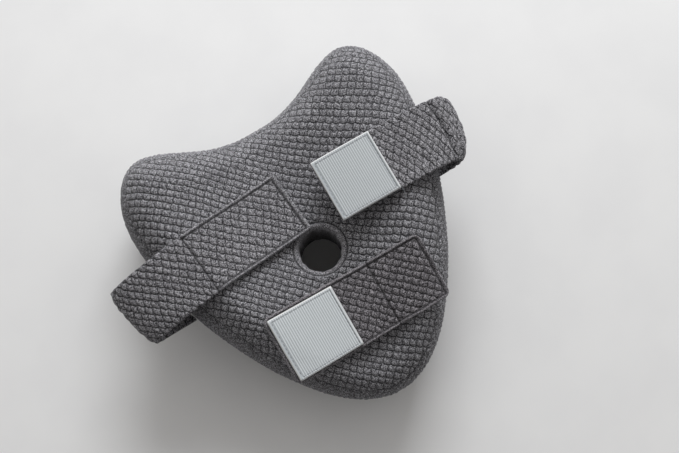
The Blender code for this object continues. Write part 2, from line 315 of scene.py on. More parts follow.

# The knits' dark and light yarn, and how dark the painted shade is in the grooves where rows and columns are
# sewn.
KNITS = {
    "quilted_knit": ((0.046, 0.044, 0.051), (0.35, 0.348, 0.368)),
    "quilted_band": ((0.038, 0.036, 0.042), (0.35, 0.345, 0.365)),
    "dark_band": ((0.032, 0.029, 0.033), (0.26, 0.248, 0.264)),
    "lining_knit": ((0.055, 0.053, 0.06), (0.35, 0.345, 0.365)),
}
ROW_PAINTED_SHADE = 0.9
COLUMN_PAINTED_SHADE = 0.7

# The hook tape between its ribs, darker there as painted shade in the grooves, on them and in its flecks,
# its selvage and its seam, and how light each tape is, the second lighter as a painted sheen on the same
# tape. Then the threads and the floor.
HOOK_COLORS = ((0.31, 0.34, 0.36), (0.6, 0.63, 0.65), (0.66, 0.68, 0.7))
SELVAGE = (0.68, 0.69, 0.695)
HOOK_SEWN = (0.2, 0.21, 0.23)
# The second tone is a painted sheen: both squares are the same tape.
HOOK_TONES = {"hook_tape": 0.96, "hook_tape_painted_sheen": 1.22}
THREADS = {"dark_thread": (0.035, 0.034, 0.038), "pale_thread": (0.25, 0.26, 0.28)}
FLOOR_COLORS = ((0.80, 0.80, 0.805), (0.83, 0.83, 0.832))

# The camera, above the pillow and a little towards its tip.
CAMERA_PLACE = Vector((-0.0181, -0.0722, 0.7870))
CAMERA_TILT = math.radians(7.0)
LENS = 50.0
SENSOR = 36.0

# The soft key light, in metres from the pillow along the photograph's axes, and the light all round.
KEY_BACK = 1.4
KEY_RIGHT = 0.1
KEY_HEIGHT = 1.1
KEY_TARGET = (0.0, 0.0, 0.05)
KEY_SIZE = 0.9
KEY_POWER = 24.0
KEY_COLOR = (0.97, 0.985, 1.0)
SKY_DARK = 0.02
SKY_BRIGHT = 0.8
SKY_TURN = math.radians(-8.0)
SKY_RISE = math.radians(38.0)
SKY_DARK_FROM = -0.3
SKY_COLOR = (1.0, 0.98, 0.955)
FLOOR_SIZE = 6.0


def catmull_rom(before, start, end, after, t):
    """The point at share t between start and end on the smooth curve through four points."""
    straight = 2.0 * start + (end - before) * t
    bend = (2.0 * before - 5.0 * start + 4.0 * end - after) * t ** 2
    twist = (3.0 * start - before - 3.0 * end + after) * t ** 3
    return 0.5 * (straight + bend + twist)


def refined(grid, times):
    """The grid with times as many steps between its rows, on smooth curves through them."""
    count = len(grid)
    wanted = np.linspace(0.0, count - 1.0, (count - 1) * times + 1)
    first = np.minimum(wanted.astype(int), count - 2)
    t = (wanted - first).reshape(-1, *([1] * (grid.ndim - 1)))
    before = grid[np.maximum(first - 1, 0)]
    after = grid[np.minimum(first + 2, count - 1)]
    return catmull_rom(before, grid[first], grid[first + 1], after, t)


def interpolate(grid, known, wanted):
    """Rows of a grid at the wanted places, between the rows at the known ones."""
    flat = grid.reshape(len(grid), -1)
    rows = np.column_stack([np.interp(wanted, known, column) for column in flat.T])
    return rows.reshape(len(wanted), *grid.shape[1:])


def arc_lengths(grid, axis=1):
    """The distance along each line of a grid from its first point."""
    steps = np.linalg.norm(np.diff(grid, axis=axis), axis=-1)
    zero = np.zeros_like(np.take(steps, [0], axis=axis))
    return np.concatenate((zero, np.cumsum(steps, axis=axis)), axis=axis)


def evenly_spaced(points, count):
    """The same line as count points at equal distances along it."""
    along = arc_lengths(points, axis=0)
    return interpolate(points, along, np.linspace(0.0, along[-1], count))


def closed_outline(count):
    """The smooth closed outline as evenly spaced points, anticlockwise from the tip."""
    right = np.array(HALF_OUTLINE)
    left = right[-2:0:-1] * (-1.0, 1.0)
    knots = np.vstack((left[-1:], right, left, right[:2]))
    fine = refined(knots, OUTLINE_STEPS)[OUTLINE_STEPS:-OUTLINE_STEPS]
    return evenly_spaced(fine, count + 1)[:-1]


OUTLINE = closed_outline(FINE_OUTLINE)


def edge_distance(places):
    """How far places in plan lie inside the outline, and 0 outside it."""
    flat = places.reshape(-1, 2)
    side = np.roll(OUTLINE, -1, axis=0) - OUTLINE
    squared = (side ** 2).sum(axis=1)
    inside = []
    for block in np.array_split(flat, len(flat) // PLACES_AT_ONCE + 1):
        gap = block[:, None] - OUTLINE
        share = np.clip((gap * side).sum(axis=2) / squared, 0.0, 1.0)
        gap = gap - share[:, :, None] * side
        nearest = (gap ** 2).sum(axis=2).argmin(axis=1)
        gap = gap[np.arange(len(block)), nearest]
        facing = side[nearest, 0] * gap[:, 1] - side[nearest, 1] * gap[:, 0]
        inside.append(np.where(facing > 0.0, np.linalg.norm(gap, axis=1), 0.0))
    return np.concatenate(inside).reshape(places.shape[:-1])


def half_width(y):
    """The outline's distance from the axis at a place along it, up to the widest part of the lobes."""
    side = OUTLINE[(OUTLINE[:, 0] >= 0.0) & (OUTLINE[:, 1] <= LOBE_WIDEST_Y)]
    return np.interp(y, side[:, 1], side[:, 0])


def crown_height(places):
    """Half the thickness away from the rim: the valley, its two crests and the fall to both ends."""
    x, y = places[..., 0], places[..., 1]
    to_tip = np.clip((CROWN_AT_Y - y) / (CROWN_AT_Y - HALF_OUTLINE[0][1]), 0.0, 1.0)
    crest = CREST_FROM_AXIS + (CREST_AT_TIP - CREST_FROM_AXIS) * to_tip
    depth = VALLEY_DEPTH + (VALLEY_AT_TIP - VALLEY_DEPTH) * to_tip
    across = np.minimum(np.abs(x) / crest, 1.0)
    fall = np.where(y < CROWN_AT_Y, FALL_TO_TIP, FALL_TO_NOTCH)
    top = HALF_THICK - fall * ((y - CROWN_AT_Y) / FALL_SPAN) ** 2
    return top - depth * (1.0 + np.cos(np.pi * across)) / 2.0


def face_height(places):
    """Half the thickness at places in plan, with the rounded rim."""
    crown = crown_height(places)
    share = np.minimum(edge_distance(places) / (RIM_REACH * crown), 1.0)
    return crown * np.sqrt(1.0 - (1.0 - share) ** 2)


def middle_height():
    """The height of the cushion's middle above the surface: its back crests are pressed a little flat."""
    line = np.array([(x, CROWN_AT_Y) for x in np.arange(60.0, 100.0, 1.0)])
    return face_height(line).max() - REST_SINK


MIDDLE_Z = middle_height()


def hash_noise(cells_a, cells_b, seed):
    """A number from 0 to 1 for each pair of whole numbers, always the same one."""
    # The factors only have to be large and unlike each other.
    wave = np.sin(cells_a * 127.1 + cells_b * 311.7 + seed * 74.7) * 43758.5453
    return wave - np.floor(wave)


def soft_waves(u, v, length, seed):
    """A smooth uneven field of about -1 to 1, with waves of about the given length."""
    # Five waves, each with a direction, a length and a start of its own.
    total = np.zeros_like(u)
    for k in range(5):
        angle = 2.4 * k + seed
        turn = 2.0 * math.pi / (length * (1.0 + 0.23 * k))
        total += np.sin((u * math.cos(angle) + v * math.sin(angle)) * turn + 1.7 * k + 3.1 * seed)
    return total / 3.0


def wander(u, v, waves):
    """How far sewn lines stray at places on the cloth, in cells."""
    return sum(size * soft_waves(u, v, length, seed) for size, length, seed in waves)


def quilt_cells(u, v, fallen, lean, row_pitch=ROW_PITCH, column_pitch=COLUMN_PITCH):
    """The quilting's own coordinates on the cloth: whole numbers are the sewn columns and rows."""
    columns = (u - lean * v) / math.hypot(1.0, lean) / column_pitch + wander(u, v, COLUMN_WANDER)
    rows = (v + fallen) / row_pitch + wander(u, v, ROW_WANDER)
    return staggered(columns, rows)


def staggered(columns, rows, repeat=NO_REPEAT):
    """The cells with scalloped rows, and columns that bow and start a little aside in each row."""
    rows = rows + SCALLOP * np.abs(np.sin(np.pi * columns))
    row = np.floor(rows)
    aside = STAGGER * (hash_noise(np.mod(row, repeat), 0.0, 3.0) - 0.5)
    return columns + aside + COLUMN_BOW * np.sin(np.pi * (rows - row)), rows


def cover_fall(u, v):
    """How far the cover's rows have fallen at a place, with their bend beside the valley."""
    middle = BEND_MIDDLE - BEND_LEAN * v
    return ROW_FALL * u + BEND_FALL * BEND_WIDTH * np.tanh((u - middle) / BEND_WIDTH)


def puffs(columns, rows):
    """The padding's share of its full height: 0 where rows are sewn, 1 on top of a cell."""
    row_share = rows - np.floor(rows)
    column_share = columns - np.floor(columns)
    across_row = np.sin(np.pi * row_share ** ROW_SKEW) ** PUFF_POWER
    across_column = np.sin(np.pi * column_share) ** PUFF_POWER
    height = across_row * (LEFT_AT_COLUMN + (1.0 - LEFT_AT_COLUMN) * across_column)
    uneven = hash_noise(np.floor(columns), np.floor(rows), 1.0)
    return height * (1.0 - UNEVEN + UNEVEN * uneven)


def normals_of(grid, wrap):
    """Unit normals of a grid of points, to the left of its rows."""
    if wrap:
        along = np.roll(grid, -1, axis=0) - np.roll(grid, 1, axis=0)
    else:
        along = np.gradient(grid, axis=0)
    normals = np.cross(along, np.gradient(grid, axis=1))
    return normals / np.linalg.norm(normals, axis=2)[:, :, None]


def frame_shift():
    """How far the plan's origin lies from the frame's, in millimetres, from the cushion's place there."""
    low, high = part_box("cushion")
    outline_middle = (OUTLINE[:, 1].max() + OUTLINE[:, 1].min()) / 2
    return np.array(((low[0] + high[0]) / 2 / MM, (low[1] + high[1]) / 2 / MM - outline_middle, 0.0))


SHIFT = frame_shift()


def grid_quads(rows, columns, wrap):
    """Corner numbers of a grid's quads, and the same with the last row of quads not wrapped round."""
    i = np.arange(rows if wrap else rows - 1)[:, None]
    j = np.arange(columns - 1)[None, :]
    quads = []
    for following in ((i + 1) % rows, i + 1):
        near, far = i * columns + j, following * columns + j
        corners = np.broadcast_arrays(near, far, far + 1, near + 1)
        quads.append(np.stack(corners, axis=-1).reshape(-1, 4))
    return quads


def add_object(name, data):
    """A new object in the scene."""
    obj = bpy.data.objects.new(name, data)
    bpy.context.scene.collection.objects.link(obj)
    return obj


def mesh_object(name, points, quads, maps, uv_quads=None):
    """A smooth mesh object from points in millimetres and quads, with its named cloth maps."""
    mesh = bpy.data.meshes.new(name)
    mesh.from_pydata(((points + SHIFT) * MM).tolist(), [], quads.tolist())
    corners = (quads if uv_quads is None else uv_quads).ravel()
    for map_name, values in maps.items():
        layer = mesh.uv_layers.new(name=map_name)
        layer.data.foreach_set("uv", values[corners].astype(np.float32).ravel())
    mesh.shade_smooth()
    return add_object(name, mesh)


def cloth_maps(columns, rows, along, across, sewn, quilted):
    """A piece's named maps: its quilting, the distances on its cloth, and in the sewn map the painted shade
    of its seams, stitched channels and creases and how quilted it is.
    """
    pairs = {"quilt": (columns, rows), "cloth": (along, across), "sewn": (sewn, quilted)}
    return {name: np.stack(pair, axis=-1).reshape(-1, 2) for name, pair in pairs.items()}


def finish_piece(obj, material, slot, *nodes):
    """Gives a piece its material and makes it ride in place of its nodes. Its slot is not used."""
    obj.data.materials.append(material)
    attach(obj, "root")
    if nodes:
        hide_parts(*nodes)
    return obj


def view_axes(x, y):
    """Places in plan along the photograph's own right and up."""
    return (x * axis[0] + y * axis[1] for axis in (VIEW_RIGHT, VIEW_UP))


def waves_round(angles, waves):
    """How far the hole's wall or lining stands in and out at angles around it."""
    return sum(height * np.sin(count * angles + turn) for height, count, turn in waves)[:, None]


def ring_radius(angles):
    """The distance from the hole's middle to the ring where its lining is sewn on, at angles around it."""
    offset = RING_CENTRE - HOLE
    toward = np.cos(angles) * offset[0] + np.sin(angles) * offset[1]
    return toward + np.sqrt(toward ** 2 + RING_RADIUS ** 2 - (offset ** 2).sum())


def lip_drop(radii):
    """How far the face has rolled down into the hole at a distance from the hole's middle."""
    share = np.clip((LIP_RADIUS - radii) / (LIP_RADIUS - HOLE_RADIUS), 0.0, 1.0)
    return LIP_DROP * (1.0 - np.sqrt(1.0 - share ** 2))


class HalfCushion:
    """Half the cushion, from its side's middle line over its face to the middle of the hole's wall."""

    def __init__(self, face_rows, hole_radius):
        self.hole_radius = hole_radius
        self.outline = closed_outline(STATIONS)
        tangents = np.roll(self.outline, -1, axis=0) - np.roll(self.outline, 1, axis=0)
        tangents /= np.linalg.norm(tangents, axis=1)[:, None]
        self.inward = np.column_stack((-tangents[:, 1], tangents[:, 0]))
        self.reach = RIM_REACH * crown_height(self.outline + self.inward * RIM_INSIDE)
        ray = self.outline - HOLE
        self.angles = np.arctan2(ray[:, 1], ray[:, 0])
        self.ray = ray / np.linalg.norm(ray, axis=1)[:, None]
        self.side = self.rim(np.linspace(0.0, math.acos(1.0 - SEAM_SHARE), SIDE_ROWS))
        self.face = self.panel(face_rows)
        self.lining = self.hole()

    def rim(self, turns):
        """Rows of points on the rounded rim, at angles from the side's middle line."""
        share = 1.0 - np.cos(turns)
        places = self.outline[:, None] + self.inward[:, None] * (share * self.reach[:, None])[:, :, None]
        heights = crown_height(places) * np.sin(turns)
        return np.concatenate((places, heights[:, :, None]), axis=2)

    def panel(self, face_rows):
        """Rows of points from the seam over the face to the ring round the hole."""
        turns = np.linspace(math.acos(1.0 - SEAM_SHARE), math.acos(1.0 - RIM_END_SHARE), RIM_ROWS)
        rim = self.rim(turns)
        start = rim[:, -1, :2]
        ring = HOLE + self.ray * ring_radius(self.angles)[:, None]
        shares = np.linspace(0.0, 1.0, face_rows + 1)[1:, None]
        places = start[:, None] + (ring - start)[:, None] * shares
        heights = face_height(places) - lip_drop(np.linalg.norm(places - HOLE, axis=2))
        return np.concatenate((rim, np.concatenate((places, heights[:, :, None]), axis=2)), axis=1)

    def hole(self):
        """Rows of points from the ring over the lip and down the hole's wall to its middle."""
        start = ring_radius(self.angles)[:, None]
        turns = np.linspace(0.0, math.pi / 2, LIP_ROWS)
        radii = start + (self.hole_radius - start) * np.sin(turns)
        places = HOLE + self.ray[:, None] * radii[:, :, None]
        heights = face_height(places) - lip_drop(radii)
        shares = np.linspace(0.0, 1.0, WALL_ROWS // 2 + 1)[1:]
        inward = self.hole_radius - HOLE_MIDDLE_RADIUS + waves_round(self.angles, WALL_WAVES)
        wall_radii = self.hole_radius - np.sin(np.pi * shares / 2) * inward
        wall = HOLE + self.ray[:, None] * wall_radii[:, :, None]
        wall_heights = heights[:, -1:] * (1.0 - shares)
        places = np.concatenate((places, wall), axis=1)
        heights = np.concatenate((heights, wall_heights), axis=1)
        return np.concatenate((places, heights[:, :, None]), axis=2)


def seam_dip(distance):
    """The drawn-in channel at a distance from a seam."""
    return SEAM_DEPTH * np.exp(-(distance / SEAM_WIDTH) ** 2)


def quilted_share(to_seam):
    """How far the quilting has its full height at a distance from a seam, from 0 to 1."""
    share = np.clip(to_seam / SEAM_FLAT, 0.0, 1.0)
    return share * share * (3.0 - 2.0 * share)


def quilted_relief(columns, rows, to_seam):
    """How far quilted cloth stands out from its even surface: padded cells that flatten into the seams."""
    return quilted_share(to_seam) * PUFF * (puffs(columns, rows) - PUFF_LEVEL) - seam_dip(to_seam)


def seam_dark(to_seam):
    """How dark the shadow in a seam is at a distance from it."""
    return np.exp(-(to_seam / SEAM_LINE) ** 2)


def raised(grid, relief, outward=1.0):
    """The grid with each point moved out by its relief, heights from the surface and nothing below it."""
    out = grid + normals_of(grid, wrap=True) * (relief * outward)[:, :, None]
    out[:, :, 2] = np.maximum(out[:, :, 2] + MIDDLE_Z, 0.0)
    return out


def with_first_row(grid):
    """The grid with its first row once more at its end, for the cloth's coordinates."""
    return np.concatenate((grid, grid[:1]), axis=0)


def seam_distance(grid):
    """How far a panel's points are from the nearer of its two seams."""
    distance = arc_lengths(grid)
    return np.minimum(distance, distance[:, -1:] - distance)


def cover_panel(name, material, grid, maps, flip=False):
    """A panel of the cover. Its grid closes on itself, and its maps have one row more than the grid."""
    quads, uv_quads = grid_quads(*grid.shape[:2], wrap=True)
    if flip:
        quads, uv_quads = quads[:, ::-1], uv_quads[:, ::-1]
    piece = mesh_object(name, grid.reshape(-1, 3), quads, cloth_maps(*maps), uv_quads)
    finish_piece(piece, material, "quilted_cover", "cushion")


def make_face_panel(name, half, lower, material):
    """The face or the back panel, quilted, from the side's seam to the ring round the hole."""
    outward = -1.0 if lower else 1.0
    grid = half.face * (1.0, 1.0, outward)
    across, up = view_axes(grid[:, :, 0] - HOLE[0], grid[:, :, 1] - HOLE[1])
    columns, rows = quilt_cells(across, up, cover_fall(across, up), COLUMN_LEAN)
    to_seam = seam_distance(grid)
    dents = np.clip(soft_waves(across, up, DENT_LENGTH, DENT_SEED) + DENT_LEVEL, 0.0, 1.0)
    dents = DENT_DEPTH * dents * np.clip(to_seam / DENT_FADE, 0.0, 1.0)
    relief = quilted_relief(columns, rows, to_seam) - dents
    maps = (columns, rows, across, up, seam_dark(to_seam), quilted_share(to_seam))
    maps = [with_first_row(item) for item in maps]
    cover_panel(name, material, raised(grid, relief, outward), maps, flip=lower)


def make_side_band(half, material):
    """The band round the side, between the two seams. Its quilting meets itself at the tip."""
    below = half.side[:, :0:-1] * (1.0, 1.0, -1.0)
    grid = np.concatenate((below, half.side), axis=1)
    height = with_first_row(arc_lengths(grid))
    around = arc_lengths(with_first_row(half.outline), axis=0)[:, None]
    around = np.broadcast_to(around, height.shape)
    whole = around.max()
    column_turns = round(whole / COLUMN_PITCH * SIDE_COLUMN_RUN[0])
    row_turns = round(whole / ROW_PITCH * SIDE_ROW_RUN[0])
    columns = around / whole * column_turns - height / COLUMN_PITCH * SIDE_COLUMN_RUN[1]
    rows = around / whole * row_turns + height / ROW_PITCH * SIDE_ROW_RUN[1]
    columns, rows = staggered(columns, rows, row_turns)
    to_seam = with_first_row(seam_distance(grid))
    relief = quilted_relief(columns, rows, to_seam)[:-1]
    maps = (columns, rows, around, height, seam_dark(to_seam), quilted_share(to_seam))
    cover_panel("side_band", material, raised(grid, relief), maps)


def make_lining(half, back, material):
    """The hole's lining, from ring to ring, in smooth knit with a few soft upright folds."""
    lower = back.lining[:, -2::-1] * (1.0, 1.0, -1.0)
    grid = np.concatenate((half.lining, lower), axis=1)
    to_seam = seam_distance(grid)
    folds = waves_round(half.angles, LINING_WAVES) * np.clip(to_seam / LINING_FADE, 0.0, 1.0)
    down = with_first_row(arc_lengths(grid))
    around = np.linspace(0.0, 2.0 * math.pi * HOLE_RADIUS, STATIONS + 1)[:, None]
    plain = np.zeros_like(down)
    sewn = with_first_row(seam_dark(to_seam))
    maps = (plain, plain, np.broadcast_to(around, down.shape), down, sewn, plain)
    cover_panel("hole_lining", material, raised(grid, folds - seam_dip(to_seam)), maps)


def route_rows(route, step):
    """Evenly spaced rows along a strap's route, with the route's columns."""
    fine = refined(np.array(route), ROUTE_STEPS)
    length = arc_lengths(fine[:, :2], axis=0)[-1]
    return evenly_spaced(fine, round(length / step) + 1)


def resting_heights(grid):
    """The heights at which a band lies just clear of the face, where it is over it."""
    places = grid[:, :, :2]
    here = face_height(places)
    slope = np.hypot(face_height(places + (1.0, 0.0)) - here, face_height(places + (0.0, 1.0)) - here)
    lift = (BAND_THICK / 2 + BAND_CLEARANCE) * np.hypot(1.0, np.minimum(slope, STEEPEST))
    over = (grid[:, :, 2] > MIDDLE_Z) & (edge_distance(places) > 0.0)
    return np.where(over, MIDDLE_Z + here + lift, -np.inf)


def settle(grid):
    """Smooths the heights and keeps the band just clear of the face, as a limp band lies down on it."""
    floor = resting_heights(grid)
    for _ in range(SETTLE_ROUNDS):
        heights = grid[:, :, 2]
        inner = (heights[:-2] + heights[2:]) / 2
        heights[1:-1] = (heights[1:-1] + inner) / 2
        grid[:, :, 2] = np.maximum(heights, floor)
    return grid


def stiffened(grid):
    """The band with the stretch under its stiff square drawn towards the plane that fits it."""
    under = grid[:SQUARE_ROWS].reshape(-1, 3)
    terms = np.column_stack((under[:, :2], np.ones(len(under))))
    plane = np.linalg.lstsq(terms, under[:, 2], rcond=None)[0]
    flat = grid[:, :, :2] @ plane[:2] + plane[2]
    floor = resting_heights(grid)
    flat = flat + max(0.0, (floor - flat)[:SQUARE_ROWS].max())
    fade = np.clip(1.0 + (SQUARE_ROWS - np.arange(len(grid))) / SQUARE_FADE_ROWS, 0.0, 1.0)[:, None]
    heights = grid[:, :, 2] + (flat - grid[:, :, 2]) * SQUARE_STIFFNESS * fade
    grid[:, :, 2] = np.maximum(heights, floor)
    return grid


def strap_grid(route, step, centre_y, bow, corner_fall, turn=0.0):
    """A leg strap's middle surface, with its fold that follows the cushion's edge."""
    rows = route_rows(route, step)
    offsets = np.linspace(-BAND_WIDTH / 2, BAND_WIDTH / 2, BAND_COLUMNS)
    side = 1.0 if route[-1][0] > 0 else -1.0
    x, z, follow = (column[:, None] for column in rows.T)
    reach = np.abs(x)
    share = np.maximum(0.0, (reach - reach[-1]) / (reach.max() - reach[-1]))
    y = centre_y + turn * (x - route[-1][0]) + offsets
    slant = side * (half_width(y) - half_width(centre_y))
    edge = 2.0 * offsets / BAND_WIDTH
    slant = slant + side * (bow * (1.0 - edge ** 2) - corner_fall * edge ** 6) * share
    place_x = x + follow * slant - (1.0 - follow) * turn * offsets
    return settle(np.stack(np.broadcast_arrays(place_x, y, z), axis=-1))


def extender_grid():
    """The loose extender's middle surface, tilted with the face under it and stiff under its square."""
    rows = route_rows(EXTENDER_ROUTE, EXTENDER_STEP)
    offsets = np.linspace(-EXTENDER_WIDTH / 2, EXTENDER_WIDTH / 2, BAND_COLUMNS)
    narrow = 1.0 - EXTENDER_TAPER / EXTENDER_WIDTH * np.linspace(0.0, 1.0, len(rows))[:, None]
    across = offsets * narrow
    heights = rows[:, 1:2] + EXTENDER_TILT * across
    grid = np.broadcast_arrays(rows[:, :1], EXTENDER_CENTRE_Y + across, heights)
    return stiffened(settle(np.stack(grid, axis=-1)))


def corner_pull(distance, radius):
    """How far a rounded corner draws the band's edge in, at a distance from its end."""
    share = np.clip(1.0 - distance / radius, 0.0, 1.0)
    return radius * (1.0 - np.sqrt(1.0 - share ** 2))


def edge_spaced(whole):
    """Places from 0 to whole, evenly spaced between two rounded ends and closer on them."""
    turns = np.linspace(0.0, math.pi / 2, EDGE_STEPS, endpoint=False)
    bend = EDGE_ROUND * (1.0 - np.cos(turns))
    inner = np.linspace(EDGE_ROUND, whole - EDGE_ROUND, round(whole / CLOTH_STEP))
    return np.concatenate((bend, inner, whole - bend[::-1]))


class Band:
    """A strap's middle surface as a fine grid, with the distances along and across its cloth."""

    def __init__(self, name, coarse, step, start_corner, end_corner):
        self.name = name
        self.coarse = coarse
        self.step = step
        fine = refined(coarse, round(step / CLOTH_STEP))
        wide = refined(fine.swapaxes(0, 1), FINER_ACROSS).swapaxes(0, 1)
        known_along = arc_lengths(fine, axis=0)[:, BAND_COLUMNS // 2]
        known_across = arc_lengths(wide)[0]
        length, width = known_along[-1], known_across[-1]
        along = edge_spaced(length)
        pull = corner_pull(along, start_corner) + corner_pull(length - along, end_corner)
        pull = pull[:, None]
        across = pull + edge_spaced(width) * (1.0 - 2.0 * pull / width)
        rows = interpolate(wide, known_along, along)
        rows = [interpolate(row, known_across, places) for row, places in zip(rows, across)]
        self.lay(np.stack(rows), along, across, width, pull)

    def lay(self, middle, along, across, width, pull=0.0):
        """Keeps a middle surface, its normals on the upper side and the distances on its cloth."""
        self.middle = middle
        self.normals = normals_of(middle, wrap=False)
        self.turned = self.normals[0, 0, 2] < 0.0
        if self.turned:
            self.normals = -self.normals
        self.length = along[-1]
        self.width = width
        self.along = np.broadcast_to(along[:, None], middle.shape[:2])
        self.across = np.broadcast_to(across, middle.shape[:2])
        self.to_edge = np.minimum(self.across - pull, width - pull - self.across)
        self.to_end = self.length - self.along

    def rounded(self):
        """The thickness's share near the edges and ends, where the cloth is folded round."""
        share = 1.0
        for distance in (self.to_edge, self.along, self.to_end):
            inward = np.clip(distance / EDGE_ROUND, 0.0, 1.0)
            share = share * np.sqrt(1.0 - (1.0 - inward) ** 2)
        return share

    def sheet(self, half_thick, upper, lower, columns, rows, sewn, quilted):
        """A closed mesh with its two faces moved out from the middle surface by their own relief."""
        shares = self.rounded()
        self.top = self.middle + self.normals * ((half_thick + upper) * shares)[:, :, None]
        bottom = self.middle - self.normals * ((half_thick + lower) * shares)[:, :, None]
        over, _ = grid_quads(*shares.shape, wrap=False)
        if self.turned:
            over = over[:, ::-1]
        inner = np.arange(shares.size).reshape(shares.shape)[1:-1, 1:-1].ravel()
        numbers = np.arange(shares.size)
        numbers[inner] = shares.size + np.arange(inner.size)
        points = np.vstack((self.top.reshape(-1, 3), bottom.reshape(-1, 3)[inner]))
        maps = cloth_maps(columns, rows, self.along, self.across, sewn, quilted)
        maps = {name: np.vstack((values, values[inner])) for name, values in maps.items()}
        return mesh_object(self.name, points, np.vstack((over, numbers[over][:, ::-1])), maps)

    def on_top(self, along, across, lift):
        """Points over the upper face, at distances along and across the cloth and at a lift off it."""
        row = np.interp(along, self.along[:, 0], np.arange(len(self.along)))
        column = np.interp(across, self.across[len(self.across) // 2], np.arange(self.across.shape[1]))
        return between(self.top, row, column) + between(self.normals, row, column) * lift[:, None]


def between(grid, row, column):
    """A grid's values at fractional row and column numbers."""
    i = np.minimum(row.astype(int), grid.shape[0] - 2)
    j = np.minimum(column.astype(int), grid.shape[1] - 2)
    down, over = (row - i)[:, None], (column - j)[:, None]
    near = grid[i, j] * (1.0 - over) + grid[i, j + 1] * over
    far = grid[i + 1, j] * (1.0 - over) + grid[i + 1, j + 1] * over
    return near * (1.0 - down) + far * down


def groove(distance, at, depth=STITCH_DEPTH, width=STITCH_WIDTH):
    """The channel of a line of stitching at a distance from an edge."""
    return depth * np.exp(-((distance - at) / width) ** 2)


def band_relief(band, cells, hem, cross_seam=None):
    """A strap's relief, the painted shade in its stitched channels and how quilted it is: padded cells, a
    rolled hem and stitched channels.

    The hem goes as far along the strap as hem says, and round its far end if that is the whole length.
    """
    narrower = STITCH_INSET / END_INSET
    border = np.where(band.along < hem, np.minimum(band.to_edge, band.along * narrower), np.inf)
    if hem >= band.length:
        border = np.minimum(border, band.to_end * narrower)
    inside = np.clip((border - HEM_END) / HEM_SLOPE, 0.0, 1.0)
    twist = HEM_TWIST * np.sin(2.0 * math.pi * (band.along + band.across) / HEM_TWIST_PITCH)
    relief = (HEM_RAISE + twist) * (1.0 - inside) + BAND_PUFF * inside * (puffs(*cells) - BAND_PUFF_LEVEL)
    sewn = np.zeros_like(relief)
    lines = [(border, STITCH_INSET)] + ([] if cross_seam is None else [(band.along, cross_seam)])
    for distance, at in lines:
        relief = relief - groove(distance, at)
        # Painted shade along the stitched channel, darkest in its middle.
        sewn = np.maximum(sewn, groove(distance, at, STITCH_PAINTED_SHADE, STITCH_LINE))
    return relief, sewn, inside


def band_cells(along, offset, fall, *lean_and_pitches):
    """The quilting's coordinates on a strap, from distances along it and from its middle line."""
    u, v = view_axes(along, offset)
    return quilt_cells(u, v, fall * u, *lean_and_pitches)


def finish_band(band, material, node, held, cells, relief, sewn, quilted):
    """Makes a strap the piece of cloth that stands for its node."""
    piece = band.sheet(BAND_THICK / 2, relief, np.minimum(relief, 0.0), *cells, sewn, quilted)
    finish_piece(piece, material, "quilted_band", node)
    return band


def make_plain_strap(material):
    """The plain strap, hemmed and stitched from its free end to the seam across it."""
    route = (PLAIN_ROUTE, PLAIN_STEP, PLAIN_CENTRE_Y, PLAIN_BOW, PLAIN_CORNER_FALL, PLAIN_TURN)
    band = Band("plain_strap", strap_grid(*route), PLAIN_STEP, PLAIN_CORNER, ROOT_CORNER)
    cells = band_cells(-band.along, band.across - BAND_WIDTH / 2, *PLAIN_QUILT)
    relief = band_relief(band, cells, CROSS_SEAM_PLAIN, CROSS_SEAM_PLAIN)
    return finish_band(band, material, "strap_plain", "folded", cells, *relief)


def make_elastic_strap(material):
    """The elastic strap, gathered towards its root and creased across, with painted shade in its deeper
    creases.
    """
    route = (ELASTIC_ROUTE, ELASTIC_STEP, ELASTIC_CENTRE_Y, ELASTIC_BOW, ELASTIC_CORNER_FALL)
    band = Band("elastic_strap", strap_grid(*route), ELASTIC_STEP, ELASTIC_CORNER, ROOT_CORNER)
    offset = band.across - BAND_WIDTH / 2
    fade = np.clip((band.along - GATHER_FROM) / GATHER_PITCH, 0.0, 1.0)
    fade = fade * np.clip(band.to_end / GATHER_PITCH - 0.5, 0.0, 1.0)
    turn = 2.0 * math.pi * (band.along + GATHER_LEAN * offset) / GATHER_PITCH
    creases = [
        groove(band.along - lean * offset, place, depth, width)
        for place, lean, depth, width in ELASTIC_CREASES
    ]
    crease = np.max(creases, axis=0)
    wave = GATHER_HEIGHT * fade * np.sin(turn) - crease
    band.middle = band.middle + band.normals * wave[:, :, None]
    cells = band_cells(band.along, offset, *ELASTIC_QUILT)
    relief, sewn, quilted = band_relief(band, cells, 0.0)
    # Painted shade in the deeper creases, joined with the painted shade of the stitched channels.
    dark = CREASE_PAINTED_SHADE * np.clip(crease / CREASE_DEEP - CREASE_FAINT, 0.0, 1.0)
    relief = (relief, np.maximum(sewn, dark), quilted)
    return finish_band(band, material, "strap_elastic", "gathered", cells, *relief)


def make_extender(material):
    """The loose strap extender, hemmed all round, with a seam across it."""
    band = Band("strap_extension", extender_grid(), EXTENDER_STEP, EXTENDER_CORNER, EXTENDER_CORNER)
    cells = band_cells(band.along, band.across - EXTENDER_WIDTH / 2, *EXTENDER_QUILT)
    relief = band_relief(band, cells, band.length, CROSS_SEAM_EXTENDER)
    return finish_band(band, material, "strap_extender", "laid", cells, *relief)


